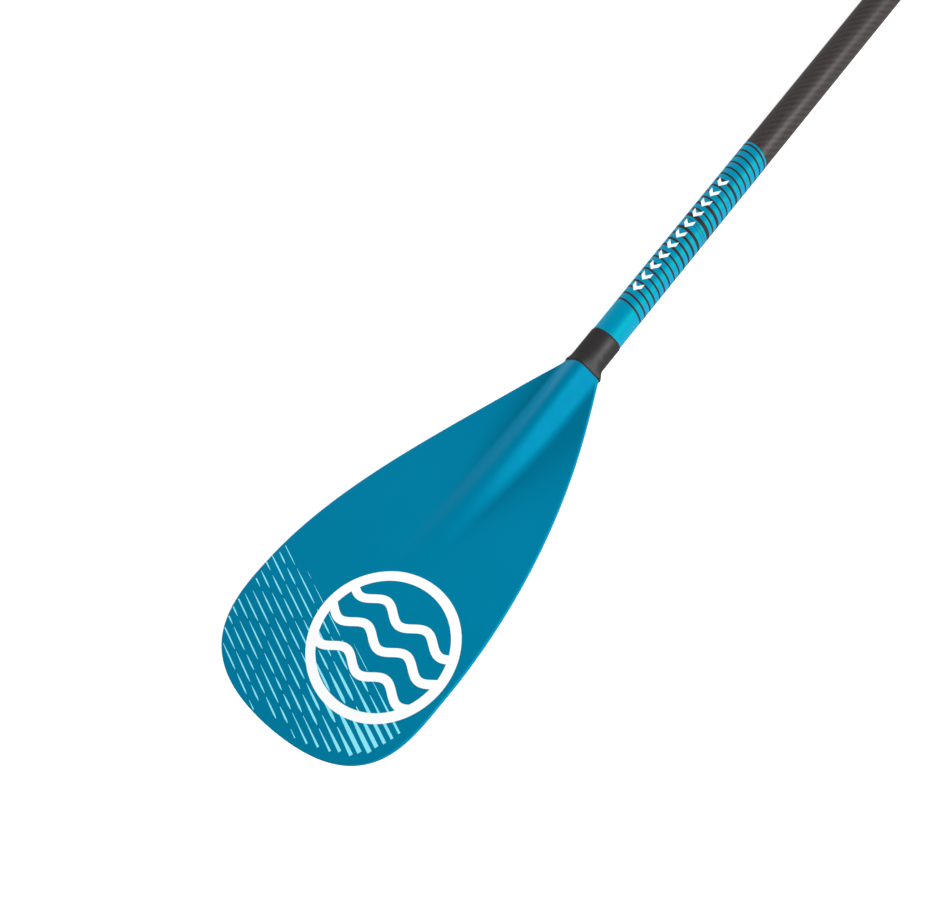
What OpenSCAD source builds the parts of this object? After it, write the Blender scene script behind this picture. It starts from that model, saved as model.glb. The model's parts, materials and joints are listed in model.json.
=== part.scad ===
// Adjustable three-piece stand-up paddle, lying with the printed face of its blade upwards.
// The shaft runs along X: the blade's tip is at -X and the grip at +X. Z = 0 is the floor.
// Every place along the paddle is given as s, the distance from the blade's tip.

/* [Overall] */
// Length as it is set, from the blade's tip to the top of the grip
paddle_len = 2000; // [1850:10:2150]

/* [Blade] */
// Length of the blade, from its tip to the neck sleeve
blade_len = 400; // [360:5:440]
// Width of the blade at its widest
blade_w = 202; // [180:2:230]
// Distance of the widest place from the tip
widest_s = 103; // [90:1:120]
// Thickness of the blade's sheet
blade_t = 4.4; // [3.6:0.2:6]
// How far the tip is bent up towards the printed face
blade_rake = 35; // [15:1:38]
// Width across the blade's shoulders, at the neck sleeve
shoulder_w = 37.6; // [36:0.4:42]

/* [Tubes] */
// Outside diameter of the lower and middle shafts
shaft_d = 29; // [29:0.5:30]
// Wall thickness of all three shafts
wall_t = 1.3; // [1.2:0.05:1.35]
// Gap all round between the upper shaft and the middle shaft
tube_gap = 0.3; // [0.3:0.05:0.4]
// Place of the joint between the lower and the middle shaft
joint_s = 920; // [820:10:960]
// Place of the middle shaft's top end, in the clamp
clamp_s = 1560; // [1540:5:1580]
// Length of the upper shaft
upper_len = 690; // [660:10:700]

/* [Neck sleeve and film] */
// Distance from the blade's shoulders to the upper end of the shrunk sleeve
sleeve_len = 37; // [36:1:50]
// Thickness of the shrunk sleeve
sleeve_t = 0.8; // [0.6:0.1:1.2]
// Length of the printed film on the lower shaft
film_len = 227; // [100:1:300]

/* [Snap button] */
// Diameter of the button
button_d = 7.8; // [7:0.1:8]
// How far the button moves when it is pressed in
button_travel = 4.2; // [4:0.1:4.4]

/* [Clamp] */
// Length of the clamp collar
collar_len = 52; // [50:1:60]
// Outside diameter of the clamp collar
collar_d = 35.2; // [34.8:0.1:35.4]
// Width of the lever and of the collar's ears
lever_w = 24; // [22:1:26]

/* [Grip] */
// Width of the T grip, across the shaft
grip_w = 106; // [95:1:115]
// Thickness of the T grip
grip_t = 36; // [36:0.5:38]
// Thickness of the soft pad on the palm side
pad_t = 1.8; // [1.5:0.1:2.5]

/* [Hidden] */
$fn = 64;

// Height of the shafts' centre line: the grip rests on the floor
axis_h = grip_t/2;
shaft_r = shaft_d/2;
bore_r = shaft_r - wall_t;
upper_r = bore_r - tube_gap;
upper_bore_r = upper_r - wall_t;
// Play of a part that slides or turns in its hole
running_play = 0.06;
// Room left between glued parts
glue_gap = 0.1;

sleeve_end = blade_len + sleeve_len;
neck_end = blade_len + sleeve_len/2;
// Radius of the blade's round neck under the sleeve
neck_r = shaft_r - 0.1;
// Distance over which the shoulders run into the round neck
neck_blend = 13;
// The tang is the part of the blade glued into the lower shaft
tang_len = 60;

film_t = 0.2;
// How far the film's end leans out of square, and towards which side, from the top round to +Y
film_lean = 3.6;
film_lean_angle = 55;

half_w = blade_w/2;
// Rounding of the blade's edge
edge_r = min(1.9, 0.45*blade_t);
// The sheet leaves the neck a little below the shaft's centre line
sheet_drop = 3.7;
// The rake starts and ends at these places
rake_start_s = blade_len - 42;
rake_end_s = 65;
// The spine is a round ridge that sinks into the sheet on the way to the tip
spine_end_s = 130;
// It is broadest from the neck to the first place, and narrowest below the second
broad_to_s = 340;
narrow_from_s = 200;
// Half the width of its foot at those places, and how softly its sides run out
foot_neck = 22.5;
foot_tip = 19.5;
foot_power = 2.5;
// On the lower face the neck runs out sooner
belly_end_s = 290;

ferrule_r = bore_r - glue_gap;
ferrule_bore_r = ferrule_r - 2.5;
ferrule_in = 65;
ferrule_out = 60;
seal_s = joint_s - 7;
seal_r = 0.9;
button_s = joint_s - 38;
button_r = button_d/2;
button_top = shaft_r + 2.8;
button_foot = 7.2;
flange_t = 1.5;
flange_r = 5.5;
spring_t = 0.6;
spring_w = 6;

collar_r = collar_d/2;
collar_start = clamp_s - 38;
collar_end = collar_start + collar_len;
ear_s = clamp_s - 17;
ear_t = 8;
ear_top = 29;
slot_w = 3;
bolt_r = 2.5;
bolt_h = 22;
washer_t = 1.5;
washer_r = 6.5;
cam_r = 6.5;
cam_gap = 0.3;
pin_r = 3;
ear_out = slot_w/2 + ear_t;
pin_y = ear_out + washer_t + cam_gap + cam_r;
lever_gap = 0.6;
lever_t = 4.4;
// The lever hugs the collar from its pivot round to this angle below the side
lever_end_angle = -40;
rivet_s = collar_start + 5;
rivet_r = 1.6;

key_w = 2.4;
groove_w = 3;
groove_depth = 0.8;
key_reach = 0.45;

upper_end = paddle_len - 60;
upper_start = upper_end - upper_len;
grip_r = grip_t/2;
grip_s = paddle_len - grip_r;
socket_start = upper_end - 35;
screw_s = upper_end - 15;
screw_r = 2;

function mix(a, b, k) = a + (b - a)*k;
function clamp01(x) = max(0, min(1, x));
function smooth(x) = let (k = clamp01(x)) k*k*(3 - 2*k);
function bezier(p, t) = pow(1 - t, 3)*p[0] + 3*pow(1 - t, 2)*t*p[1] + 3*(1 - t)*t*t*p[2] + t*t*t*p[3];
// X of a place along the paddle
function at(s) = s - paddle_len/2;

// Half the outline as [s, half width]: one curve round the tip, and one up to the shoulder
tip_curve = [[0, 0], [0, 1.05*half_w], [0.6*widest_s, half_w], [widest_s, half_w]];
side_curve = [[widest_s, half_w], [mix(widest_s, blade_len, 0.375), half_w],
    [blade_len - 66, shoulder_w/2 + 32], [blade_len, shoulder_w/2]];
tip_steps = 12;
side_steps = 16;
outline = concat([bezier(tip_curve, 0.02)], [for (k = [1:tip_steps]) bezier(tip_curve, k/tip_steps)],
    [for (k = [1:side_steps]) bezier(side_curve, k/side_steps)]);

// Shape of the blade's section: a thin sheet, with the spine above it and the belly below
function sheet_z(s) = blade_rake*smooth((rake_start_s - s)/(rake_start_s - rake_end_s)) - sheet_drop;
function spine_k(s) = smooth((s - spine_end_s)/(blade_len - spine_end_s));
function belly_k(s) = smooth((s - belly_end_s)/(blade_len - belly_end_s));
function foot_w(s) = mix(foot_tip, foot_neck, smooth((s - narrow_from_s)/(broad_to_s - narrow_from_s)));
// Height of the spine's section as a share of its crest
function bulge(s, y) = pow(max(0, 1 - pow(y/foot_w(s), 2)), foot_power);
spine_h = neck_r + sheet_drop - blade_t/2;
belly_h = neck_r - sheet_drop - blade_t/2;
function top_z(s, y) = sheet_z(s) + blade_t/2 + spine_h*spine_k(s)*bulge(s, y);
function bottom_z(s, y) = sheet_z(s) - blade_t/2 - belly_h*belly_k(s)*bulge(s, y);

// Places across half a section, from its edge to the centre line; most lie within the spine's foot
function half_places(h, foot_w) = let (foot = min(0.99*foot_w, 0.85*(h - edge_r)))
    concat([h], [for (k = [0:1]) mix(h - edge_r, foot, k/2)], [for (k = [0:7]) foot*(1 - k/7)]);
function places(h, foot_w) = let (half = half_places(h, foot_w))
    concat(half, [for (k = [len(half) - 2:-1:0]) -half[k]]);
function edge_drop(y, h) = abs(y) > h - 0.01 ? edge_r : 0;
// A section of the blade as [y, z], all round; grow moves it outwards for the sleeve
function section(s, h, grow = 0) =
    let (ys = places(h + grow, foot_w(s)), last = len(ys) - 1)
    concat([for (y = ys) [y, top_z(s, y) + grow - edge_drop(y, h + grow)]],
        [for (k = [last:-1:0]) [ys[k], bottom_z(s, ys[k]) - grow + edge_drop(ys[k], h + grow)]]);
// A round section with the same number of points, evenly spread
function round_section(r) =
    let (n = len(section(blade_len, shoulder_w/2)))
    [for (k = [0:n - 1]) r*[cos(360*(k + 0.5)/n), sin(360*(k + 0.5)/n)]];
function neck_section(k, r, grow) = mix(section(blade_len, shoulder_w/2, grow), round_section(r), k);
function ring(s, points) = [for (p = points) [at(s), p[0], axis_h + p[1]]];
// Rings from the shoulders to the round neck
function neck_rings(r, grow, from) = [for (k = [from:4])
    ring(blade_len + neck_blend*k/4, neck_section(smooth(k/4), r, grow))];

// A skin over rings of points, either capped at both ends or closed on itself
module loft(rings, closed = false) {
    n = len(rings[0]);
    m = len(rings);
    sides = [for (i = [0:(closed ? m : m - 1) - 1], j = [0:n - 1])
        let (here = i*n, next = ((i + 1)%m)*n, k = (j + 1)%n)
        each [[here + j, here + k, next + k], [here + j, next + k, next + j]]];
    caps = closed ? [] : [[for (j = [n - 1:-1:0]) j], [for (j = [0:n - 1]) (m - 1)*n + j]];
    polyhedron([for (r = rings) each r], concat(sides, caps));
}

// Puts a shape drawn up the Z axis along the shaft, with its base at s
module along(s) {
    translate([at(s), 0, axis_h]) rotate([0, 90, 0]) children();
}

module tube(from, to, outer, inner) {
    along(from) difference() {
        cylinder(r = outer, h = to - from);
        translate([0, 0, -1]) cylinder(r = inner, h = to - from + 2);
    }
}

module rod(from, to, r) {
    along(from) cylinder(r = r, h = to - from);
}

// A radial hole or pin on the upper side of the shaft
module upright(s, from, to, r) {
    translate([at(s), 0, axis_h + from]) cylinder(r = r, h = to - from);
}

// A cylinder across the shaft, at height h above the centre line
module across(s, h, from, to, r) {
    translate([at(s), from, axis_h + h]) rotate([-90, 0, 0]) cylinder(r = r, h = to - from);
}

module blade() {
    color([0, 0.48, 0.63]) loft(concat(
        [for (p = outline) ring(p[0], section(p[0], p[1]))],
        neck_rings(neck_r, 0, 1),
        [ring(neck_end, round_section(neck_r)), ring(neck_end, round_section(bore_r - tube_gap)),
            ring(neck_end + tang_len, round_section(bore_r - tube_gap))]));
}

module neck_sleeve() {
    outer = neck_rings(shaft_r + sleeve_t, sleeve_t + glue_gap, 1);
    inner = neck_rings(shaft_r + glue_gap, glue_gap, 1);
    color([0.18, 0.17, 0.17]) loft(concat(outer,
        [ring(sleeve_end - 1, round_section(shaft_r + sleeve_t)),
            ring(sleeve_end, round_section(shaft_r + 0.6*sleeve_t)),
            ring(sleeve_end, round_section(shaft_r + glue_gap))],
        [for (k = [len(inner) - 1:-1:0]) inner[k]]), closed = true);
}

module lower_shaft() {
    color([0.22, 0.2, 0.2]) difference() {
        tube(neck_end + 0.3, joint_s, shaft_r, bore_r);
        upright(button_s, 0, shaft_r + 2, button_r + 0.4);
    }
}

// The film is wrapped a little askew, so its upper end leans
module shaft_film() {
    film_end = sleeve_end + film_len;
    color([0, 0.58, 0.76]) difference() {
        tube(sleeve_end + 0.2, film_end + film_lean, shaft_r + film_t, shaft_r);
        translate([at(film_end), 0, axis_h]) rotate([-film_lean_angle, 0, 0])
            rotate([0, atan(film_lean/shaft_r), 0])
            translate([0, -shaft_d, -shaft_d]) cube([shaft_d, 2*shaft_d, 2*shaft_d]);
    }
}

module lower_foam_plug() {
    color("gainsboro") rod(joint_s - 110, joint_s - 80, bore_r - glue_gap);
}

module joint_collar() {
    color([0.1, 0.1, 0.1]) union() {
        tube(joint_s - 22, joint_s - 3, shaft_r + 1.6, shaft_r + glue_gap);
        tube(joint_s - 3, joint_s, shaft_r + 1, shaft_r + glue_gap);
    }
}

module joint_ferrule() {
    color("silver") difference() {
        tube(joint_s - ferrule_in, joint_s + ferrule_out, ferrule_r, ferrule_bore_r);
        tube(seal_s - 1.1, seal_s + 1.1, ferrule_r + 1, ferrule_r - 1.8);
        upright(button_s, 0, ferrule_r + 1, button_r + running_play);
    }
}

module ferrule_seal() {
    color([0.1, 0.1, 0.1]) along(seal_s) rotate_extrude() translate([ferrule_r - seal_r, 0]) circle(r = seal_r);
}

// A leaf spring folded like a V, drawn with the button fully pressed
module button_spring() {
    floor_z = -sqrt(pow(ferrule_bore_r, 2) - pow(spring_w/2, 2)) + 0.05;
    top = button_foot - button_travel - 0.4;
    fold = 24;
    color("lightsteelblue") translate([at(button_s), spring_w/2, axis_h]) rotate([90, 0, 0])
        linear_extrude(height = spring_w) polygon([[12, floor_z], [12, floor_z + spring_t],
            [1 - fold, floor_z + spring_t], [1 - fold, floor_z + 2], [5, top - spring_t], [5, top],
            [-fold, floor_z + 2.4], [-fold, floor_z]]);
}

module snap_button() {
    color("silver") union() {
        intersection() {
            upright(button_s, button_foot, button_top, button_r);
            translate([at(button_s), 0, axis_h + button_top - 6]) sphere(r = 6);
        }
        upright(button_s, button_foot, button_foot + 5, button_r);
        upright(button_s, button_foot, button_foot + flange_t, flange_r);
    }
}

module middle_shaft() {
    slit_len = 35;
    color([0.22, 0.2, 0.2]) difference() {
        tube(joint_s + 0.4, clamp_s, shaft_r, bore_r);
        translate([at(clamp_s - slit_len), -slot_w/2, axis_h]) cube([slit_len + 1, slot_w, shaft_r + 1]);
        across(rivet_s, 0, -shaft_r - 1, 0, rivet_r + 0.1);
    }
}

// One ear on each side of the slot, with a round top
module ears() {
    translate([at(ear_s), 0, axis_h]) rotate([90, 0, 0]) {
        linear_extrude(height = 2*ear_out, center = true) {
            translate([-lever_w/2, 0]) square([lever_w, ear_top - 7]);
            translate([-lever_w/2 + 7, 0]) square([lever_w - 14, ear_top]);
            for (side = [-1, 1]) translate([side*(lever_w/2 - 7), ear_top - 7]) circle(r = 7);
        }
    }
}

module clamp_collar() {
    color([0.13, 0.13, 0.14]) difference() {
        union() {
            rod(collar_start, collar_end, collar_r);
            ears();
        }
        rod(collar_start - 1, clamp_s + 8, shaft_r + glue_gap);
        rod(collar_start, collar_end + 1, upper_r + 0.4);
        translate([at(collar_start) - 1, -slot_w/2, axis_h]) cube([collar_len + 2, slot_w, ear_top + 1]);
        across(ear_s, bolt_h, -ear_out - 1, ear_out + 1, bolt_r + 0.15);
        across(rivet_s, 0, -collar_r - 1, 0, rivet_r + 0.1);
    }
}

module collar_rivet() {
    color("silver") union() {
        across(rivet_s, 0, -collar_r - 1, -bore_r - 0.1, rivet_r);
        across(rivet_s, 0, -collar_r - 1, -collar_r, 3);
    }
}

// A bush on the middle shaft's end; its key runs in the upper shaft's groove
module wiper_ring() {
    color("dimgray") union() {
        tube(clamp_s + 0.2, clamp_s + 7.8, shaft_r - 0.1, upper_r + running_play);
        translate([at(clamp_s + 0.2), -key_w/2, axis_h - upper_r - 0.6])
            cube([7.6, key_w, 0.6 + key_reach]);
    }
}

module clamp_bolt() {
    color("silver") across(ear_s, bolt_h, -ear_out - 6.5, pin_y + 2.4, bolt_r);
}

// A lock nut: a hexagon with a round collar outside it
module clamp_nut() {
    color("silver") difference() {
        union() {
            translate([at(ear_s), -ear_out - 4.2, axis_h + bolt_h]) rotate([-90, 0, 0])
                cylinder(r = 4.6, h = 4.1, $fn = 6);
            across(ear_s, bolt_h, -ear_out - 5.6, -ear_out - 4.2, 3.7);
        }
        across(ear_s, bolt_h, -ear_out - 7, -ear_out + 1, bolt_r + running_play);
    }
}

module cam_washer() {
    color("silver") difference() {
        across(ear_s, bolt_h, ear_out, ear_out + washer_t, washer_r);
        across(ear_s, bolt_h, ear_out - 1, ear_out + washer_t + 1, bolt_r + 0.2);
    }
}

// The barrel that the bolt ends in and the lever turns on
module lever_pin() {
    color("silver") difference() {
        translate([at(ear_s) - lever_w/2 + 0.5, pin_y, axis_h + bolt_h]) rotate([0, 90, 0])
            cylinder(r = pin_r, h = lever_w - 1);
        across(ear_s, bolt_h, pin_y - pin_r - 1, pin_y + pin_r + 1, bolt_r + running_play);
    }
}

// The lever's side view, with y across and z up, about the shaft's centre line
module lever_outline() {
    inner = collar_r + lever_gap;
    outer = inner + lever_t;
    sweep = 30 - lever_end_angle;
    middle = (inner + outer)/2;
    translate([pin_y, bolt_h]) circle(r = cam_r);
    intersection() {
        difference() {
            circle(r = outer);
            circle(r = inner);
        }
        polygon([[0, 0], for (k = [0:4]) 2*outer*[cos(30 - sweep*k/4), sin(30 - sweep*k/4)]]);
    }
    translate(middle*[cos(lever_end_angle), sin(lever_end_angle)]) circle(r = lever_t/2);
    polygon([[pin_y + cam_r, bolt_h], [pin_y - 5.2, bolt_h - 3.6], inner*[cos(30), sin(30)],
        outer*[cos(8), sin(8)]]);
}

module clamp_lever() {
    color([0.16, 0.16, 0.17]) difference() {
        translate([at(ear_s) - lever_w/2, 0, axis_h]) rotate([90, 0, 90])
            linear_extrude(height = lever_w) lever_outline();
        translate([at(ear_s) - lever_w/2 - 1, pin_y, axis_h + bolt_h]) rotate([0, 90, 0])
            cylinder(r = pin_r + running_play, h = lever_w + 2);
        translate([at(ear_s), pin_y, axis_h + bolt_h]) rotate([0, 90, 0])
            cylinder(r = 9.5, h = 2*bolt_r + 1.4, center = true);
    }
}

module upper_shaft() {
    color([0.2, 0.19, 0.19]) difference() {
        tube(upper_start, upper_end, upper_r, upper_bore_r);
        translate([at(upper_start + 12), -groove_w/2, axis_h - upper_r - 1])
            cube([upper_len - 60, groove_w, 1 + groove_depth]);
        upright(screw_s, 0, upper_r + 1, screw_r + 0.1);
    }
}

module guide_bush() {
    color("whitesmoke") union() {
        rod(upper_start - 6, upper_start - 0.1, bore_r - running_play);
        rod(upper_start - 0.2, upper_start + 16, upper_bore_r - glue_gap);
    }
}

module upper_foam_plug() {
    color("gainsboro") rod(upper_start + 25, upper_start + 55, upper_bore_r - glue_gap);
}

// The bar of the T grip, a rounded bar across the shaft
module grip_bar(r) {
    hull() for (side = [-1, 1])
        translate([at(grip_s), side*(grip_w/2 - grip_r), axis_h]) sphere(r = r, $fn = 32);
}

// Everything on the palm side of the grip's parting line
module palm_side(from) {
    translate([at(grip_s) + from, -grip_w, 0]) cube([grip_r + 1, 2*grip_w, 2*axis_h + 1]);
}

module grip_body() {
    neck_top = grip_s - socket_start;
    color([0.12, 0.12, 0.13]) difference() {
        union() {
            difference() {
                grip_bar(grip_r);
                palm_side(0);
            }
            grip_bar(grip_r - pad_t);
            along(socket_start) rotate_extrude() polygon([[0, 0], [15.4, 0], [15.8, 1.5], [15.2, 18],
                [15.4, 32], [16.4, neck_top - 6], [16.4, neck_top], [0, neck_top]]);
        }
        rod(socket_start - 1, upper_end + 0.2, upper_r + glue_gap);
        upright(screw_s, 0, 20, screw_r + 0.1);
        upright(screw_s, 13.9, 20, 3.6);
    }
}

module grip_pad() {
    color([0, 0.45, 0.6]) difference() {
        intersection() {
            grip_bar(grip_r);
            palm_side(0.2);
        }
        grip_bar(grip_r - pad_t + glue_gap);
    }
}

module grip_screw() {
    color("silver") union() {
        upright(screw_s, upper_bore_r - 0.5, 15, screw_r);
        upright(screw_s, 14, 15.1, 3.5);
    }
}

blade();
neck_sleeve();
lower_shaft();
shaft_film();
lower_foam_plug();
joint_collar();
joint_ferrule();
ferrule_seal();
button_spring();
snap_button();
middle_shaft();
clamp_collar();
collar_rivet();
wiper_ring();
clamp_bolt();
clamp_nut();
cam_washer();
lever_pin();
clamp_lever();
upper_shaft();
guide_bush();
upper_foam_plug();
grip_body();
grip_pad();
grip_screw();
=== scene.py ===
"""Looks of the adjustable stand-up paddle, in metres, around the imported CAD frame.

Places along the paddle are given as s, the distance in millimetres from the blade's tip, as in
the CAD model. Heights are millimetres above the shafts' centre line, and y is millimetres to its
side, negative towards the camera.
"""
import json
import math
import random

import bmesh
import bpy
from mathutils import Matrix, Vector


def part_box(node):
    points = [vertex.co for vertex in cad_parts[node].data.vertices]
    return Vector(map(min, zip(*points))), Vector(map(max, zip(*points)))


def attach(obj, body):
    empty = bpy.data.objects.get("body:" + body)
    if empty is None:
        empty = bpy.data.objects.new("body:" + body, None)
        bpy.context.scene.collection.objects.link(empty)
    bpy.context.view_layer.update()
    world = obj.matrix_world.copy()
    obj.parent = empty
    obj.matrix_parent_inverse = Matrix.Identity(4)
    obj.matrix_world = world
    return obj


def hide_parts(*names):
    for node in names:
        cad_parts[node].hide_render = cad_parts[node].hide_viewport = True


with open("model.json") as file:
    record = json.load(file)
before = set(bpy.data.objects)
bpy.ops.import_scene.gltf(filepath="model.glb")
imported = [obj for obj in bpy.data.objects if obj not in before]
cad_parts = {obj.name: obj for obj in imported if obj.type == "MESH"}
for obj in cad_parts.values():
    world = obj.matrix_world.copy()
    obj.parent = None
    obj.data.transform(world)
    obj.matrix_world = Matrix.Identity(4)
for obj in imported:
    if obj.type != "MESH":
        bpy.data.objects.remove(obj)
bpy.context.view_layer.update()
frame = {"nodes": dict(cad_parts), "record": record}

MM = 0.001


def extent(node):
    """A CAD node's box as two vectors in millimetres."""
    low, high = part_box(node)
    return Vector(low) / MM, Vector(high) / MM


# ---------------------------------------------------------------- sizes, in millimetres
SHAFT_LOW, SHAFT_HIGH = extent("lower_shaft")
SHAFT_R = (SHAFT_HIGH.y - SHAFT_LOW.y) / 2
AXIS_H = (SHAFT_HIGH.z + SHAFT_LOW.z) / 2
UPPER_LOW, UPPER_HIGH = extent("upper_shaft")
UPPER_R = (UPPER_HIGH.y - UPPER_LOW.y) / 2
BLADE_LEN = 400
SLEEVE_LEN = 37
SLEEVE_T = 0.8
SLEEVE_END = BLADE_LEN + SLEEVE_LEN
SLEEVE_END_X = extent("neck_sleeve")[1].x
FILM_END = SLEEVE_END + 227
FILM_R = SHAFT_R + 0.2

HALF_W = 101
WIDEST_S = 103
SHEET_T = 4.4
EDGE_R = 1.9
RAKE = 35
RAKE_START = BLADE_LEN - 42
RAKE_END = 65
SHEET_DROP = 3.7
SHOULDER = 18.8
NECK_R = SHAFT_R - 0.1
NECK_BLEND = 13
NECK_ROUND = BLADE_LEN + NECK_BLEND
NECK_END = BLADE_LEN + SLEEVE_LEN / 2
SLEEVE_START = BLADE_LEN + 2.8
TANG_R = 12.9
TANG_LEN = 60
SPINE_H = NECK_R + SHEET_DROP - SHEET_T / 2
BELLY_H = NECK_R - SHEET_DROP - SHEET_T / 2
SPINE_END = 130
NARROW_FROM = 200
BROAD_TO = 340
FOOT_NECK = 22.5
FOOT_TIP = 19.5
FOOT_POWER = 2.5
BELLY_END = 290


def at(s):
    """X in metres of a place along the paddle."""
    return (SLEEVE_END_X + s - SLEEVE_END) * MM


def point(s, y, z):
    return Vector((at(s), y * MM, (AXIS_H + z) * MM))


def mix(a, b, k):
    return a + (b - a) * k


def smooth(x):
    k = max(0.0, min(1.0, x))
    return k * k * (3 - 2 * k)


def bezier(p, t):
    weights = ((1 - t) ** 3, 3 * (1 - t) ** 2 * t, 3 * (1 - t) * t * t, t ** 3)
    return tuple(sum(w * q[i] for w, q in zip(weights, p)) for i in (0, 1))


# ---------------------------------------------------------------- camera, lights and floor
CAMERA_FROM_SLEEVE = Vector((-369.7, -452.8, 988.3))
CAMERA_TURN = (25.18, 13.16, -50.33)
CAMERA_LENS = 48.84


def add_camera():
    data = bpy.data.cameras.new("camera")
    data.lens = CAMERA_LENS
    data.sensor_width = 36
    camera = bpy.data.objects.new("camera", data)
    camera.location = point(SLEEVE_END, 0, 0) + CAMERA_FROM_SLEEVE * MM
    camera.rotation_euler = [math.radians(a) for a in CAMERA_TURN]
    bpy.context.scene.collection.objects.link(camera)
    bpy.context.scene.camera = camera


def add_softbox(name, place, target, size, power, mirrored):
    data = bpy.data.lights.new(name, "AREA")
    data.shape = "RECTANGLE"
    data.size, data.size_y = size
    data.energy = power
    lamp = bpy.data.objects.new(name, data)
    lamp.location = place
    lamp.rotation_euler = (Vector(target) - Vector(place)).to_track_quat("-Z", "Y").to_euler()
    lamp.visible_glossy = mirrored
    bpy.context.scene.collection.objects.link(lamp)


def add_floor():
    mesh = bpy.data.meshes.new("floor")
    half = 40
    mesh.from_pydata([(-half, -half, 0), (half, -half, 0), (half, half, 0), (-half, half, 0)], [],
                     [(0, 1, 2, 3)])
    floor = bpy.data.objects.new("floor", mesh)
    floor.location.z = -0.0004
    floor.visible_glossy = False
    bpy.context.scene.collection.objects.link(floor)
    finish = bpy.data.materials.new("floor")
    finish.use_nodes = True
    shader = finish.node_tree.nodes["Principled BSDF"]
    shader.inputs["Base Color"].default_value = (0.93, 0.93, 0.93, 1)
    shader.inputs["Roughness"].default_value = 0.9
    shader.inputs["Specular IOR Level"].default_value = 0.1
    shader.inputs["Emission Color"].default_value = (1, 1, 1, 1)
    shader.inputs["Emission Strength"].default_value = 0.5
    mesh.materials.append(finish)


def add_studio():
    world = bpy.data.worlds.new("studio")
    bpy.context.scene.world = world
    world.use_nodes = True
    sky = world.node_tree.nodes["Background"]
    sky.inputs["Color"].default_value = (1, 1, 1, 1)
    sky.inputs["Strength"].default_value = 0.32
    middle = point(300, 0, 0)
    add_softbox("near_softbox", middle + Vector((0.5, -1.8, 1.05)), middle, (2.6, 1.0), 66, True)
    add_softbox("far_softbox", middle + Vector((0.2, 1.9, 0.55)), middle, (2.6, 0.5), 46, False)
    bpy.context.scene.view_settings.view_transform = "Standard"


# ---------------------------------------------------------------- materials
# Nearly all of a noise texture's values lie between these two
NOISE_LOW, NOISE_HIGH = 0.3, 0.7


class Finish:
    """A material being put together from nodes."""

    def __init__(self, name, color, roughness, specular=0.5, metallic=0.0):
        self.material = bpy.data.materials.new(name)
        self.material.use_nodes = True
        self.tree = self.material.node_tree
        self.shader = self.tree.nodes["Principled BSDF"]
        self.color = color
        self.set("Base Color", (*color, 1))
        self.set("Roughness", roughness)
        self.set("Specular IOR Level", specular)
        self.set("Metallic", metallic)
        self.place = self.node("ShaderNodeTexCoord").outputs["Object"]

    def set(self, socket, value):
        self.shader.inputs[socket].default_value = value

    def node(self, kind, **settings):
        made = self.tree.nodes.new(kind)
        for key, value in settings.items():
            setattr(made, key, value)
        return made

    def link(self, source, target):
        self.tree.links.new(source, target)

    def math(self, operation, a, b=None):
        made = self.node("ShaderNodeMath", operation=operation)
        for socket, value in zip(made.inputs, (a, b)):
            if value is None:
                continue
            if isinstance(value, (int, float)):
                socket.default_value = value
            else:
                self.link(value, socket)
        return made.outputs[0]

    def noise(self, scale, detail=3.0, stretch=(1, 1, 1)):
        """Noise whose grain is about 1/scale metres across."""
        mapping = self.node("ShaderNodeMapping")
        mapping.inputs["Scale"].default_value = stretch
        self.link(self.place, mapping.inputs["Vector"])
        noise = self.node("ShaderNodeTexNoise")
        noise.inputs["Scale"].default_value = scale
        noise.inputs["Detail"].default_value = detail
        self.link(mapping.outputs[0], noise.inputs["Vector"])
        return noise.outputs["Fac"]

    def scaled(self, value, low, high):
        """Noise spread over the range from low to high."""
        ranger = self.node("ShaderNodeMapRange")
        ranger.inputs["From Min"].default_value = NOISE_LOW
        ranger.inputs["From Max"].default_value = NOISE_HIGH
        ranger.inputs["To Min"].default_value = low
        ranger.inputs["To Max"].default_value = high
        self.link(value, ranger.inputs["Value"])
        return ranger.outputs[0]

    def blend(self, factor, first, second):
        mixer = self.node("ShaderNodeMix", data_type="RGBA")
        self.link(factor, mixer.inputs["Factor"])
        colors = [s for s in mixer.inputs if s.type == "RGBA"]
        for socket, value in zip(colors, (first, second)):
            if isinstance(value, (tuple, list)):
                socket.default_value = (*value, 1)
            else:
                self.link(value, socket)
        return [s for s in mixer.outputs if s.type == "RGBA"][0]

    def mottle(self, scale, amount):
        """Slight variation of the colour."""
        dark = tuple(c * (1 - amount) for c in self.color)
        light = tuple(min(1, c * (1 + amount)) for c in self.color)
        self.link(self.blend(self.noise(scale), dark, light), self.shader.inputs["Base Color"])
        return self

    def uneven(self, scale, low, high):
        """Roughness that changes from place to place."""
        self.link(self.scaled(self.noise(scale), low, high), self.shader.inputs["Roughness"])
        return self

    def bump(self, height, distance, strength):
        bump = self.node("ShaderNodeBump")
        bump.inputs["Strength"].default_value = strength
        bump.inputs["Distance"].default_value = distance
        self.link(height, bump.inputs["Height"])
        self.link(bump.outputs[0], self.shader.inputs["Normal"])
        return self

    def grain(self, scale, distance, strength=0.5, stretch=(1, 1, 1)):
        return self.bump(self.noise(scale, 2.0, stretch), distance, strength)


def moulded(name, color, roughness, grain=900):
    """Moulded plastic with a fine eroded texture."""
    made = Finish(name, color, roughness)
    return made.mottle(80, 0.05).uneven(140, roughness - 0.05, roughness + 0.05).grain(
        grain, 0.00012, 0.5).material


def turned_metal(name, color, roughness, stretch):
    """Metal with the fine lines of turning or rolling; stretch is small along the lines."""
    made = Finish(name, color, roughness, metallic=1.0)
    made.mottle(200, 0.06).uneven(400, roughness - 0.07, roughness + 0.08)
    return made.grain(1500, 0.00003, 0.4, stretch).material


# Threads round the shaft, the width of one in millimetres, and the threads in one repeat
WEAVE_AROUND = 48
WEAVE_CELL = 1.9
WEAVE_REPEAT = 4
CROWN_FALL = 3.2
GROOVE_SHADE = 0.55


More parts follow.
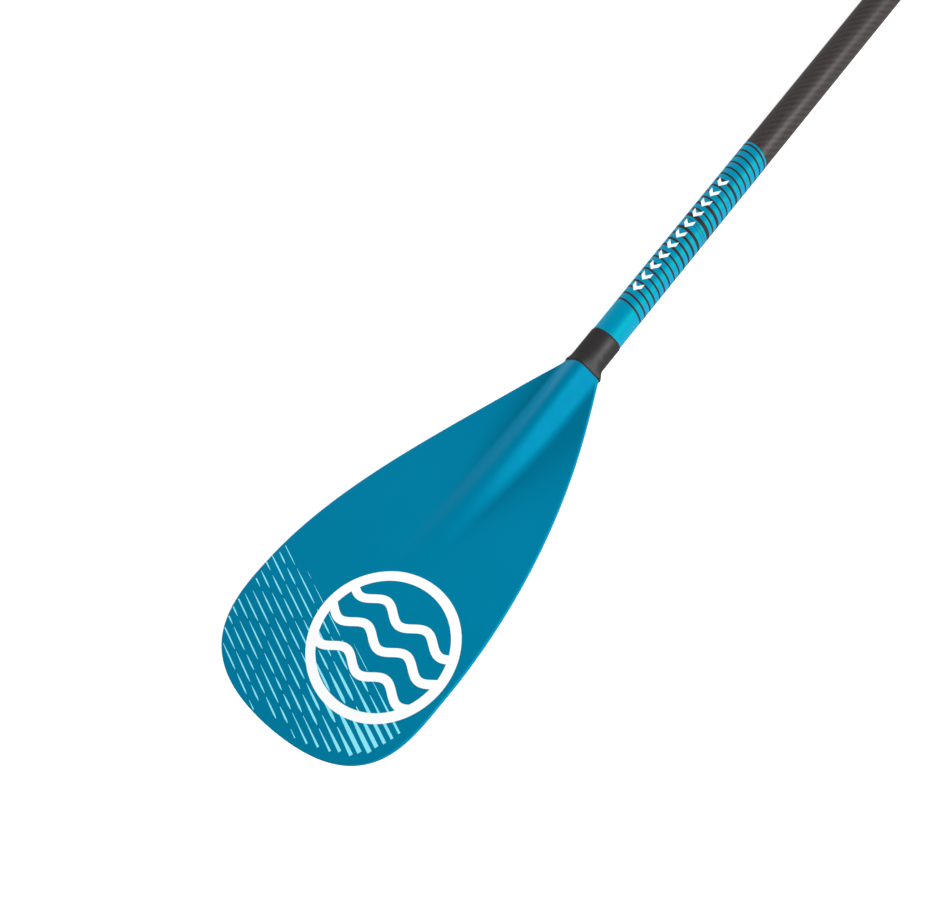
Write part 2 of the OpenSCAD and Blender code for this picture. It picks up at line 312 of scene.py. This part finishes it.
def woven(name, dark, light):
    """Two-over-two twill cloth in clear resin, wrapped round the shaft."""
    made = Finish(name, light, 0.4, specular=0.25)
    split = made.node("ShaderNodeSeparateXYZ")
    made.link(made.place, split.inputs[0])
    above = made.math("SUBTRACT", split.outputs["Z"], AXIS_H * MM)
    turn = made.math("ARCTAN2", split.outputs["Y"], above)
    around = made.math("MULTIPLY", turn, WEAVE_AROUND / (2 * math.pi))
    along = made.math("DIVIDE", split.outputs["X"], WEAVE_CELL * MM)
    step = made.math("ADD", made.math("FLOOR", around), made.math("FLOOR", along))
    phase = made.math("FLOORED_MODULO", step, WEAVE_REPEAT)
    warp_up = made.math("LESS_THAN", phase, WEAVE_REPEAT / 2 - 0.5)

    def crown(position):
        """Height across a thread: 1 along its middle, and 0.2 at its edges."""
        offset = made.math("SUBTRACT", made.math("FRACT", position), 0.5)
        square = made.math("MULTIPLY", offset, offset)
        return made.math("SUBTRACT", 1.0, made.math("MULTIPLY", square, CROWN_FALL))

    warp = crown(around)
    weft = crown(along)
    height = made.node("ShaderNodeMix", data_type="FLOAT")
    made.link(warp_up, height.inputs[0])
    made.link(weft, height.inputs[2])
    made.link(warp, height.inputs[3])
    threads = made.blend(warp_up, dark, light)
    shade = made.blend(made.scaled(made.noise(700, 2.0), 0, 1), threads, light)
    # Painted shade: the colour darkens towards GROOVE_SHADE of the dark threads in the grooves between
    # threads
    body = made.blend(height.outputs[0], tuple(c * GROOVE_SHADE for c in dark), shade)
    made.link(body, made.shader.inputs["Base Color"])
    made.link(made.scaled(made.noise(500), 0.32, 0.46), made.shader.inputs["Roughness"])
    return made.bump(height.outputs[0], 0.00004, 0.5).material


def printed(name, color, roughness=0.45, specular=0.3, gloss=None):
    """Ink or printed film; its gloss takes the colour of the print unless one is given."""
    made = Finish(name, color, roughness, specular=specular)
    made.set("Specular Tint", (*(gloss or color), 1))
    return made.mottle(25, 0.03).uneven(300, roughness - 0.04, roughness + 0.06).grain(
        500, 0.00001, 0.2).material


def make_finishes():
    blade = Finish("blade_plastic", (0.0, 0.172, 0.305), 0.4, specular=0.36)
    blade.set("Specular Tint", (0.0, 0.6, 0.85, 1))
    blade.mottle(14, 0.035).uneven(90, 0.38, 0.47).grain(1100, 0.00006, 0.45)
    sleeve = Finish("shrink_sleeve", (0.021, 0.019, 0.019), 0.44, specular=0.32)
    sleeve.mottle(70, 0.12).uneven(120, 0.42, 0.58).grain(420, 0.0001, 0.5, (0.35, 1, 1))
    foam = Finish("foam", (0.74, 0.74, 0.71), 0.85, specular=0.2)
    foam.mottle(300, 0.1).grain(900, 0.0004, 0.8)
    return {
        "blade_teal": blade.material,
        "black_sleeve": sleeve.material,
        "woven_tube": woven("woven_fibre", (0.022, 0.019, 0.018), (0.06, 0.05, 0.048)),
        "blue_film": printed("blue_film", (0.0, 0.232, 0.395), 0.42, 0.5, (0.0, 0.8, 0.1)),
        "foam": foam.material,
        "black_plastic": moulded("black_plastic", (0.022, 0.022, 0.024), 0.45),
        "lever_plastic": moulded("lever_plastic", (0.03, 0.03, 0.032), 0.38),
        "grey_nylon": moulded("grey_nylon", (0.12, 0.12, 0.12), 0.5),
        "white_nylon": moulded("white_nylon", (0.72, 0.72, 0.69), 0.5),
        "alloy": turned_metal("anodised_alloy", (0.7, 0.71, 0.73), 0.35, (0.1, 1, 1)),
        "stainless": turned_metal("stainless", (0.62, 0.61, 0.6), 0.28, (1, 1, 1)),
        "spring_steel": turned_metal("spring_steel", (0.45, 0.46, 0.5), 0.3, (0.1, 1, 1)),
        "black_rubber": moulded("black_rubber", (0.02, 0.02, 0.02), 0.65),
        "soft_pad": moulded("soft_pad", (0.0, 0.14, 0.24), 0.62, grain=700),
        "white_ink": printed("white_ink", (0.9, 0.91, 0.92)),
        "aqua_ink": printed("aqua_ink", (0.24, 0.74, 0.85)),
        # Black print of the film bands; the same material paints the shade of the gaps at the sleeve's
        # ends
        "black_ink": printed("black_ink", (0.03, 0.027, 0.027), 0.4),
    }


finishes = make_finishes()


# ---------------------------------------------------------------- pieces
SHARP_ANGLE = math.radians(35)


def new_object(name, verts, faces):
    mesh = bpy.data.meshes.new(name)
    mesh.from_pydata(verts, [], faces)
    made = bpy.data.objects.new(name, mesh)
    bpy.context.scene.collection.objects.link(made)
    return made


def add_piece(name, verts, faces, finish, body="root", stands_for=(), slot=None):
    """A closed mesh that rides on a CAD body."""
    settle(new_object(name, verts, faces), finish, body, stands_for)


def settle(piece, finish, body, stands_for=()):
    """Outward normals, smooth shading, the material, and what the piece rides on and replaces."""
    mesh = piece.data
    work = bmesh.new()
    work.from_mesh(mesh)
    bmesh.ops.recalc_face_normals(work, faces=work.faces)
    work.to_mesh(mesh)
    work.free()
    mesh.shade_smooth()
    mesh.set_sharp_from_angle(angle=SHARP_ANGLE)
    mesh.materials.clear()
    mesh.materials.append(finishes[finish])
    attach(piece, body)
    if stands_for:
        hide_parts(*stands_for)


def add_softened(name, node, width, finish, body="root"):
    """A copy of a CAD node with its sharp edges bevelled, in place of that node."""
    piece = new_object(name, [], [])
    source = frame["nodes"][node]
    work = bmesh.new()
    work.from_mesh(source.data)
    work.transform(source.matrix_world)
    bmesh.ops.remove_doubles(work, verts=work.verts, dist=0.001 * MM)
    bmesh.ops.dissolve_limit(work, angle_limit=math.radians(1), verts=work.verts, edges=work.edges)
    sharp = [e for e in work.edges if len(e.link_faces) == 2 and e.calc_face_angle() > SHARP_ANGLE]
    bmesh.ops.bevel(work, geom=sharp, offset=width * MM, offset_type="OFFSET", segments=2, profile=0.5,
                    affect="EDGES", clamp_overlap=True)
    work.to_mesh(piece.data)
    work.free()
    settle(piece, finish, body, stands_for=(node,))


def loft(rings, closed=False):
    """Vertices and faces of a skin over rings, capped at both ends or closed on itself."""
    count = len(rings[0])
    verts = [p for ring in rings for p in ring]
    faces = []
    for i in range(len(rings) - (0 if closed else 1)):
        here, there = i * count, (i + 1) % len(rings) * count
        for j in range(count):
            k = (j + 1) % count
            faces.append((here + j, here + k, there + k, there + j))
    if not closed:
        faces.append(tuple(reversed(range(count))))
        faces.append(tuple(range(len(verts) - count, len(verts))))
    return verts, faces


# ---------------------------------------------------------------- the blade
TIP_CURVE = ((0, 0), (0, 1.05 * HALF_W), (0.6 * WIDEST_S, HALF_W), (WIDEST_S, HALF_W))
SIDE_CURVE = ((WIDEST_S, HALF_W), (mix(WIDEST_S, BLADE_LEN, 0.375), HALF_W),
              (BLADE_LEN - 66, SHOULDER + 32), (BLADE_LEN, SHOULDER))
TIP_STEPS = 44
SIDE_STEPS = 110
OUTLINE = ([bezier(TIP_CURVE, 0.02)] + [bezier(TIP_CURVE, k / TIP_STEPS) for k in range(1, TIP_STEPS + 1)]
           + [bezier(SIDE_CURVE, k / SIDE_STEPS) for k in range(1, SIDE_STEPS + 1)])


def half_width(s):
    """Half the blade's width at s."""
    for (s0, h0), (s1, h1) in zip(OUTLINE, OUTLINE[1:]):
        if s0 <= s <= s1:
            return mix(h0, h1, (s - s0) / (s1 - s0))
    return 0.0


def sheet_z(s):
    return RAKE * smooth((RAKE_START - s) / (RAKE_START - RAKE_END)) - SHEET_DROP


def spine_k(s):
    return smooth((s - SPINE_END) / (BLADE_LEN - SPINE_END))


def bulge(s, y):
    """Cross-section of the spine, from 1 on the centre line to 0 beyond its foot."""
    foot = mix(FOOT_TIP, FOOT_NECK, smooth((s - NARROW_FROM) / (BROAD_TO - NARROW_FROM)))
    return max(0, 1 - (y / foot) ** 2) ** FOOT_POWER


def top_z(s, y):
    return sheet_z(s) + SHEET_T / 2 + SPINE_H * spine_k(s) * bulge(s, y)


def bottom_z(s, y):
    belly_k = smooth((s - BELLY_END) / (BLADE_LEN - BELLY_END))
    return sheet_z(s) - SHEET_T / 2 - BELLY_H * belly_k * bulge(s, y)


EDGE_STEPS = 5
SHEET_STEPS = 12
SPINE_STEPS = 22


def half_places(half, grow=0.0):
    """Places across half a section as (y, drop), from the edge to the centre line."""
    foot = min(0.99 * FOOT_NECK, 0.85 * (half - EDGE_R))
    edge = half + grow
    places = []
    for k in range(EDGE_STEPS):
        turn = math.pi / 2 * k / EDGE_STEPS
        places.append((edge - EDGE_R + EDGE_R * math.cos(turn), EDGE_R * (1 - math.sin(turn))))
    places += [(mix(edge - EDGE_R, foot, k / SHEET_STEPS), 0) for k in range(SHEET_STEPS)]
    places += [(foot * (1 - k / SPINE_STEPS), 0) for k in range(SPINE_STEPS + 1)]
    return places


def full_places(half, grow=0.0):
    places = half_places(half, grow)
    return places + [(-y, drop) for y, drop in reversed(places[:-1])]


def section(s, half, grow=0.0):
    """The blade's outline across s as (y, height), made larger all round by grow."""
    places = full_places(half, grow)
    top = [(y, top_z(s, y) + grow - drop) for y, drop in places]
    bottom = [(y, bottom_z(s, y) - grow + drop) for y, drop in reversed(places)]
    return top + bottom


def round_section(r):
    """A round section with as many points, evenly spread."""
    count = len(section(BLADE_LEN, SHOULDER))
    turns = [2 * math.pi * (k + 0.5) / count for k in range(count)]
    return [(r * math.cos(t), r * math.sin(t)) for t in turns]


def neck_section(k, r, grow):
    """An outline between the blade's shoulders, where k is 0, and the round neck, where it is 1."""
    pairs = zip(section(BLADE_LEN, SHOULDER, grow), round_section(r))
    return [(mix(a[0], b[0], k), mix(a[1], b[1], k)) for a, b in pairs]


def ring(s, outline):
    return [point(s, y, z) for y, z in outline]


NECK_STEPS = 14


def neck_ring(s, r, grow):
    return ring(s, neck_section(smooth((s - BLADE_LEN) / NECK_BLEND), r, grow))


def neck_rings(r, grow, from_s):
    """Rings from a place in the shoulders to the round neck."""
    return [neck_ring(mix(from_s, NECK_ROUND, k / NECK_STEPS), r, grow) for k in range(NECK_STEPS + 1)]


def add_blade():
    rings = [ring(s, section(s, h)) for s, h in OUTLINE]
    rings += neck_rings(NECK_R, 0, BLADE_LEN + 1)
    rings += [ring(NECK_END, round_section(NECK_R)), ring(NECK_END, round_section(TANG_R)),
              ring(NECK_END + TANG_LEN - 1, round_section(TANG_R)),
              ring(NECK_END + TANG_LEN, round_section(TANG_R - 1))]
    add_piece("blade_moulding", *loft(rings), "blade_teal", stands_for=("blade",))


# The fold's place and direction round the neck in degrees, its slant in millimetres per degree
FOLD_S = BLADE_LEN + 16
FOLD_TURN = -70
FOLD_SLANT = 0.12
FOLD_W = 1.6
FOLD_REACH = 28
FOLD_H = 0.5
# Width of the dark bands painted at the sleeve's ends as painted shade of its gaps
GAP_SHADE_W = 1.1


def folded(s, outline):
    """An outline of the sleeve with its share of a small slanted fold on the near side."""
    pushed = []
    for y, z in outline:
        around = math.degrees(math.atan2(y, z)) - FOLD_TURN
        along = (s - FOLD_S - FOLD_SLANT * around) / FOLD_W
        rise = FOLD_H * math.exp(-along ** 2 - (around / FOLD_REACH) ** 2)
        grow = 1 + rise / math.hypot(y, z)
        pushed.append((y * grow, z * grow))
    return pushed


def add_sleeve():
    outer = neck_rings(SHAFT_R + SLEEVE_T, SLEEVE_T + 0.1, SLEEVE_START)
    steps = 30
    for k in range(1, steps + 1):
        s = mix(NECK_ROUND, SLEEVE_END - 0.6, k / steps)
        outer.append(ring(s, folded(s, round_section(SHAFT_R + SLEEVE_T))))
    outer.append(ring(SLEEVE_END - 0.25, round_section(SHAFT_R + 0.85 * SLEEVE_T)))
    outer.append(ring(SLEEVE_END, round_section(SHAFT_R + 0.5 * SLEEVE_T)))
    inner = neck_rings(SHAFT_R + 0.1, 0.1, SLEEVE_START)
    inner.append(ring(SLEEVE_END, round_section(SHAFT_R + 0.1)))
    add_piece("neck_sleeve_skin", *loft(outer + inner[::-1], closed=True), "black_sleeve",
              stands_for=("neck_sleeve",))


def add_painted_gap_shade():
    """A dark band painted at each end of the sleeve: painted shade of the gaps where it meets the film
    and the blade.
    """
    shaft_line = band(SLEEVE_END - 0.1, SLEEVE_END + GAP_SHADE_W, FILM_R - 0.1, FILM_R + 0.2)
    low, high = SLEEVE_START - GAP_SHADE_W, SLEEVE_START + 0.1
    corners = ((low, 0.3), (high, 0.3), (high, -0.2), (low, -0.2))
    blade_line = loft([neck_ring(s, NECK_R + grow, grow) for s, grow in corners], closed=True)
    add_piece("painted_gap_shade", *joined([shaft_line, blade_line]), "black_ink", slot="black_sleeve")


# ---------------------------------------------------------------- printing on the blade
INK_T = 0.05
INK_ROOT = -0.05


def ribbon(path, widths, lift=0.0, closed=False):
    """A thin closed solid that follows a path of (s, y) on the blade's upper face."""
    count = len(path)
    rings = []
    for i, (s, y) in enumerate(path):
        before = path[i - 1] if closed or i else path[i]
        after = path[(i + 1) % count] if closed or i + 1 < count else path[i]
        run = Vector((after[0] - before[0], after[1] - before[1])).normalized()
        side = Vector((-run.y, run.x)) * widths[i] / 2
        left, right = (s + side.x, y + side.y), (s - side.x, y - side.y)
        rings.append([on_blade(left, lift + INK_T), on_blade(right, lift + INK_T),
                      on_blade(right, INK_ROOT), on_blade(left, INK_ROOT)])
    return loft(rings, closed)


def on_blade(place, lift):
    s, y = place
    return point(s, y, top_z(s, y) + lift)


def joined(parts):
    """Several (vertices, faces) as one."""
    verts, faces = [], []
    for more_verts, more_faces in parts:
        start = len(verts)
        verts += more_verts
        faces += [tuple(start + i for i in face) for face in more_faces]
    return verts, faces


EMBLEM_S = 106
EMBLEM_Y = -31
EMBLEM_R = 60
EMBLEM_STROKE = 8.5
WAVE_STROKE = 7.5
WAVE_RISE = 25
WAVE_HEIGHT = 5
WAVE_LEN = 44
# The ring is printed over the waves, and both over the dashes
RING_LIFT = 0.06
WAVE_LIFT = 0.04


def add_emblem():
    """A ring with three waves in it."""
    turns = 120
    circle = [(EMBLEM_S + EMBLEM_R * math.cos(2 * math.pi * k / turns),
               EMBLEM_Y + EMBLEM_R * math.sin(2 * math.pi * k / turns)) for k in range(turns)]
    parts = [ribbon(circle, [EMBLEM_STROKE] * turns, RING_LIFT, closed=True)]
    for rise in (-WAVE_RISE, 0, WAVE_RISE):
        reach = math.sqrt(EMBLEM_R ** 2 - rise ** 2)
        steps = 60
        wave = []
        for k in range(steps + 1):
            across = mix(-reach, reach, k / steps)
            wave.append((EMBLEM_S + rise - WAVE_HEIGHT * math.cos(2 * math.pi * across / WAVE_LEN),
                         EMBLEM_Y - across))
        parts.append(ribbon(wave, [WAVE_STROKE] * (steps + 1), WAVE_LIFT))
    add_piece("blade_emblem", *joined(parts), "white_ink", slot="blade_teal")


# The dashes lie in columns: "along" is measured down a column, and "across" from column to column
DASH_TURN = math.radians(-111.8)
DASH_RUN = Vector((math.cos(DASH_TURN), math.sin(DASH_TURN)))
DASH_SIDE = Vector((-DASH_RUN.y, DASH_RUN.x))
DASH_PITCH = 6.8
DASH_LEN = 25
DASH_GAP = 4.2
DASH_FIRST, DASH_LAST = -12, 96
DASH_START, DASH_STOP = -136, 90
DASH_W = 1.2
BAR_W = 0.8
HEAVY_W = 1.7
HEAVY_AT = 60
HEAVY_SPREAD = 17
SWELL_FROM, SWELL_TO = -45, 55
LAST_COLUMN, LAST_SLOPE = 80, 0.09
FADE_W = 10
BARS_ALONG, BARS_ACROSS = -8, 14
NEAR_MARGIN, FAR_MARGIN, FAR_FROM = 5, 1, 20


def dash_width(across, along):
    """Width of a dash: a hairline at the far corner, a bar at the blade's near corner."""
    limit = LAST_COLUMN + LAST_SLOPE * (along - DASH_START)
    if across >= limit:
        return 0
    heavy = BAR_W + HEAVY_W * math.exp(-((across - HEAVY_AT) / HEAVY_SPREAD) ** 2)
    swell = smooth((along - SWELL_FROM) / (SWELL_TO - SWELL_FROM))
    fade = smooth((limit - across) / FADE_W)
    return (DASH_W + heavy * swell) * mix(0.3, 1, fade)


def in_print(place):
    """True where the blade carries print: inside the outline, short of the tip's edge."""
    s, y = place
    margin = NEAR_MARGIN if y < FAR_FROM else FAR_MARGIN
    inner = s - margin
    return inner > 0.2 and abs(y) < min(half_width(s), half_width(inner)) - margin


def add_dash(parts, across, start, length):
    """One dash, which swells from a thin start and narrows over its last sixth."""
    steps = max(4, int(length / 4))
    path, widths = [], []
    for k in range(steps + 1):
        along = start + length * k / steps
        place = DASH_RUN * along + DASH_SIDE * across
        if in_print(place):
            taper = min(1, 0.25 + 2 * k / steps, 4.5 * (1.06 - k / steps))
            path.append(tuple(place))
            widths.append(taper * dash_width(across, along))
    if len(path) > 2 and max(widths) > 0.3:
        parts.append(ribbon(path, widths))


def add_tip_dashes():
    """Slanted columns of dashes over the tip that run together into bars at the near corner."""
    chance = random.Random(11)
    parts = []
    across = DASH_FIRST
    while across < DASH_LAST:
        along = DASH_START - chance.uniform(0, DASH_LEN)
        while along < DASH_STOP:
            length = DASH_LEN * chance.uniform(0.5, 1.6)
            if along > BARS_ALONG and across > BARS_ACROSS:
                length = DASH_STOP - along
            add_dash(parts, across + chance.uniform(-0.15, 0.15), along, length)
            along += length + DASH_GAP * chance.uniform(0.5, 1.4)
        across += DASH_PITCH
    add_piece("blade_dashes", *joined(parts), "aqua_ink", slot="blade_teal")


# ---------------------------------------------------------------- the shafts' printing
ROUND = 96
LEAN_TURN = math.radians(55)


def band(from_s, to_s, inner, outer, from_lean=0.0, to_lean=0.0):
    """A thin ring round the shaft; a lean is how far an end goes out of square."""
    rings = []
    for k in range(ROUND):
        turn = 2 * math.pi * k / ROUND
        y, z = math.sin(turn), math.cos(turn)
        lean = math.cos(turn - LEAN_TURN)
        start, end = from_s + from_lean * lean, to_s + to_lean * lean
        rings.append([point(start, inner * y, inner * z), point(end, inner * y, inner * z),
                      point(end, outer * y, outer * z), point(start, outer * y, outer * z)])
    return loft(rings, closed=True)


FIRST_LEAN, LAST_LEAN = 2.9, 3.6
BAND_START = SLEEVE_END + 33.4
BAND_PITCH = 7.33
BAND_COUNT = 27
BAND_W = 2.0
HEAVY_BANDS = {9: 2.6, 10: 2.4, 11: 2.6, 12: 3.1, 14: 4.1, 16: 3.4, 20: 2.9}
HAIR_BANDS = (12.92, 13.3)
HAIR_W = 0.55


def add_film():
    film = band(SLEEVE_END + 0.2, FILM_END, SHAFT_R + 0.005, FILM_R, 0, LAST_LEAN)
    add_piece("film_wrap", *film, "blue_film", stands_for=("shaft_film",))
    widths = {k: HEAVY_BANDS.get(k, BAND_W) for k in range(BAND_COUNT) if k != int(HAIR_BANDS[-1])}
    widths.update({k: HAIR_W for k in HAIR_BANDS})
    bands = []
    for k, width in widths.items():
        start = BAND_START + k * BAND_PITCH - width / 2
        lean = mix(FIRST_LEAN, LAST_LEAN, k / BAND_COUNT)
        bands.append(band(start, start + width, FILM_R - 0.05, FILM_R + 0.03, lean, lean))
    add_piece("film_bands", *joined(bands), "black_ink", slot="blue_film")


MARK_ANGLE = 10
MARK_S = SLEEVE_END + 47.5
MARK_COUNT = 11
MARK_PITCH = 12.8
MARK_REACH = 5
MARK_POINT = 5
MARK_T = 4.6


def on_shaft(s, around, r):
    """A point on the shaft, at a distance measured round it from the line of the marks."""
    turn = math.radians(MARK_ANGLE) + around / FILM_R
    return point(s, r * math.sin(turn), r * math.cos(turn))


def add_shaft_marks():
    """A row of white arrowheads along the film, pointing at the blade."""
    parts = []
    steps = 6
    for k in range(MARK_COUNT):
        start = MARK_S + k * MARK_PITCH
        rings = []
        for i in range(-steps, steps + 1):
            around = MARK_REACH * i / steps
            s = start + MARK_POINT * abs(i) / steps
            corners = ((s, 0.07), (s + MARK_T, 0.07), (s + MARK_T, -0.03), (s, -0.03))
            rings.append([on_shaft(place, around, FILM_R + lift) for place, lift in corners])
        parts.append(loft(rings))
    add_piece("film_arrowheads", *joined(parts), "white_ink", slot="blue_film")


# ---------------------------------------------------------------- the clamp and the upper shaft
COLLAR_HIGH = extent("clamp_collar")[1]
LEVER_LOW, LEVER_HIGH = extent("clamp_lever")
COLLAR_R = COLLAR_HIGH.y
RIB_R = 0.7
RIB_CORNERS = 10


def shaft_s(x):
    """The place along the paddle of an X in millimetres."""
    return x - SLEEVE_END_X + SLEEVE_END


def rib_point(s, turn, r, corner):
    """A point of a round bar bent about the shaft's axis at radius r."""
    roll = 2 * math.pi * corner / RIB_CORNERS
    out = r + RIB_R * math.cos(roll)
    return point(s + RIB_R * math.sin(roll), out * math.sin(turn), out * math.cos(turn))


def add_collar_ribs():
    """Rounded rings near the collar's top end, open at its slot."""
    steps = 60
    open_turn = math.radians(9)
    parts = []
    for k in range(5):
        s = shaft_s(COLLAR_HIGH.x) - 3.5 - 2.8 * k
        rings = []
        for i in range(steps + 1):
            turn = mix(open_turn, 2 * math.pi - open_turn, i / steps)
            rings.append([rib_point(s, turn, COLLAR_R - 0.45, corner) for corner in range(RIB_CORNERS)])
        parts.append(loft(rings))
    add_piece("collar_ribs", *joined(parts), "black_plastic")


LEVER_R = 22.6
LEVER_RIBS = 7
# Degrees round the shaft from straight up: the first rib, and the step to the next
LEVER_RIB_TURN = 94
LEVER_RIB_STEP = 5


def rib_ring(s, middle, r):
    """A round outline across the shaft's direction."""
    rolls = [2 * math.pi * corner / RIB_CORNERS for corner in range(RIB_CORNERS)]
    return [point(s, middle.x + r * math.sin(roll), middle.y + r * math.cos(roll)) for roll in rolls]


def add_lever_ribs():
    """Thumb ribs along the free end of the lever."""
    parts = []
    start = shaft_s(LEVER_LOW.x) + 2.5
    end = shaft_s(LEVER_HIGH.x) - 2.5
    for k in range(LEVER_RIBS):
        turn = math.radians(LEVER_RIB_TURN + LEVER_RIB_STEP * k)
        middle = Vector((LEVER_R * math.sin(turn), LEVER_R * math.cos(turn)))
        rings = []
        for inward, size in ((0, 0.3), (0.3, 0.8), (1, 1)):
            rings.append(rib_ring(start + inward, middle, size * RIB_R))
        for inward, size in ((1, 1), (0.3, 0.8), (0, 0.3)):
            rings.append(rib_ring(end - inward, middle, size * RIB_R))
        parts.append(loft(rings))
    add_piece("lever_ribs", *joined(parts), "lever_plastic", body="clamp_lever")


SCALE_FROM, SCALE_TO = 1380, 1890
SCALE_STEP = 10
SCALE_TURN = math.radians(-12)
SCALE_FACETS = 20


def add_scale():
    """Length marks down the upper shaft, longer at every fifth."""
    parts = []
    for k, s in enumerate(range(SCALE_FROM, SCALE_TO + 1, SCALE_STEP)):
        reach = 9 if k % 5 == 0 else 5
        rings = []
        for i in range(SCALE_FACETS + 1):
            turn = SCALE_TURN - reach * i / SCALE_FACETS / UPPER_R
            rings.append([point(s + side, r * math.sin(turn), r * math.cos(turn))
                          for side, r in ((-0.35, UPPER_R + 0.03), (0.35, UPPER_R + 0.03),
                                          (0.35, UPPER_R - 0.05), (-0.35, UPPER_R - 0.05))])
        parts.append(loft(rings))
    add_piece("length_scale", *joined(parts), "white_ink", body="upper_section", slot="woven_tube")


# ---------------------------------------------------------------- the T grip
PAD_HIGH = extent("grip_pad")[1]
GRIP_R = AXIS_H
GRIP_S = shaft_s(PAD_HIGH.x) - GRIP_R
GRIP_STRAIGHT = PAD_HIGH.y - GRIP_R
PAD_T = 1.8
SOCKET_S = shaft_s(extent("grip_body")[0].x)
UPPER_END = shaft_s(UPPER_HIGH.x)
SCREW_S = UPPER_END - 15
GRIP_AROUND = 96
END_STEPS = 20


def bar_stations(r):
    """Places along the bar as (y, radius): a straight middle, and round ends just short of a point."""
    turns = [math.radians(89.5) * k / END_STEPS for k in range(END_STEPS, -1, -1)]
    left = [(-GRIP_STRAIGHT - r * math.sin(t), r * math.cos(t)) for t in turns]
    return left + [(0, r)] + [(-y, size) for y, size in reversed(left)]


def bar(r, from_turn, to_turn):
    """The grip's bar, or its part between two directions from its axis; 0 is away from the blade."""
    rings = []
    for y, size in bar_stations(r):
        turns = [mix(from_turn, to_turn, k / GRIP_AROUND) for k in range(GRIP_AROUND)]
        rings.append([point(GRIP_S + size * math.cos(t), y, size * math.sin(t)) for t in turns])
    return loft(rings)


def turned(profile):
    """A solid turned about the shaft's axis from a profile of (s, radius)."""
    rings = []
    for s, r in profile:
        turns = [2 * math.pi * k / GRIP_AROUND for k in range(GRIP_AROUND)]
        rings.append([point(s, r * math.sin(t), r * math.cos(t)) for t in turns])
    return loft(rings)


def stud(s, from_z, to_z, r):
    """A short upright cylinder on the shaft's upper side."""
    turns = [2 * math.pi * k / 40 for k in range(40)]
    return loft([[point(s + r * math.cos(t), r * math.sin(t), z) for t in turns] for z in (from_z, to_z)])


def add_grip():
    """Bar and socket run together with a fillet, then bored for the shaft and its screw."""
    socket = turned([(SOCKET_S, 14.6), (SOCKET_S + 0.4, 15.3), (SOCKET_S + 1.5, 15.8),
                     (SOCKET_S + 6, 15.6), (SOCKET_S + 18, 15.2), (SOCKET_S + 32, 15.4),
                     (GRIP_S - 6, 16.8), (GRIP_S, 17.2)])
    near_half = bar(GRIP_R, math.pi / 2, 3 * math.pi / 2 + math.pi / GRIP_AROUND)
    core = bar(GRIP_R - PAD_T - 0.1, 0, 2 * math.pi)
    grip = new_object("grip_moulding", *joined([socket, near_half, core]))
    even = grip.modifiers.new("even", "REMESH")
    even.mode = "VOXEL"
    even.voxel_size = 1.0 * MM
    soften = grip.modifiers.new("soften", "SMOOTH")
    soften.iterations = 8
    bore = turned([(SOCKET_S - 2, UPPER_R + 0.1), (UPPER_END + 0.2, UPPER_R + 0.1)])
    tools = [new_object("grip_bore", *bore),
             new_object("grip_screw_hole", *stud(SCREW_S, 5, 20, 2.1)),
             new_object("grip_screw_recess", *stud(SCREW_S, 13.9, 20, 3.6))]
    for tool in tools:
        cut = grip.modifiers.new(tool.name, "BOOLEAN")
        cut.operation = "DIFFERENCE"
        cut.solver = "EXACT"
        cut.object = tool
    graph = bpy.context.evaluated_depsgraph_get()
    shaped = bpy.data.meshes.new_from_object(grip.evaluated_get(graph))
    grip.modifiers.clear()
    grip.data = shaped
    for tool in tools:
        bpy.data.objects.remove(tool)
    settle(grip, "black_plastic", "upper_section", stands_for=("grip_body",))


PAD_GAP = 0.2
PAD_GROOVES = 9
PAD_GROOVE_DEPTH = 0.45


def add_pad():
    """The soft palm pad, with shallow grooves along the bar."""
    rings = []
    for y, size in bar_stations(GRIP_R):
        inner_r = GRIP_R - PAD_T
        beyond = max(0, abs(y) - GRIP_STRAIGHT)
        inner = math.sqrt(max(0.01, inner_r ** 2 - beyond ** 2))
        deep = PAD_GROOVE_DEPTH * smooth((GRIP_STRAIGHT + 4 - abs(y)) / 8)
        outline = []
        for k in range(GRIP_AROUND + 1):
            turn = mix(-math.pi / 2, math.pi / 2, k / GRIP_AROUND)
            wave = max(0, math.cos(2 * PAD_GROOVES * turn)) ** 4
            r = size - deep * wave * smooth((1.2 - abs(turn)) / 0.2)
            outline.append((PAD_GAP + r * math.cos(turn), r * math.sin(turn)))
        for k in range(GRIP_AROUND, -1, -1):
            turn = mix(-math.pi / 2, math.pi / 2, k / GRIP_AROUND)
            outline.append((PAD_GAP + inner * math.cos(turn), inner * math.sin(turn)))
        rings.append([point(GRIP_S + min(along, GRIP_R), y, up) for along, up in outline])
    add_piece("palm_pad", *loft(rings), "soft_pad", body="upper_section", stands_for=("grip_pad",))


# ---------------------------------------------------------------- small hardware
def add_hardware():
    add_softened("clamp_body", "clamp_collar", 0.6, "black_plastic")
    add_softened("lever_moulding", "clamp_lever", 0.7, "lever_plastic", body="clamp_lever")
    add_softened("joint_ring", "joint_collar", 0.4, "black_plastic")
    add_softened("lock_nut", "clamp_nut", 0.25, "stainless")
    add_softened("lever_barrel", "lever_pin", 0.3, "stainless")
    add_softened("cam_plate", "cam_washer", 0.2, "stainless")
    add_softened("rivet_head", "collar_rivet", 0.3, "stainless")
    add_softened("button_cap", "snap_button", 0.4, "stainless", body="snap_button")
    add_softened("grip_screw_head", "grip_screw", 0.3, "stainless", body="upper_section")


# ---------------------------------------------------------------- CAD nodes that stay
def finish_nodes():
    slots = {part["node"]: part["material_slot"] for part in frame["record"]["subparts"]}
    for name, node in frame["nodes"].items():
        node.data.materials.clear()
        node.data.materials.append(finishes[slots[name]])


add_camera()
add_studio()
add_floor()
finish_nodes()
add_blade()
add_sleeve()
add_painted_gap_shade()
add_emblem()
add_tip_dashes()
add_film()
add_shaft_marks()
add_hardware()
add_collar_ribs()
add_lever_ribs()
add_scale()
add_grip()
add_pad()
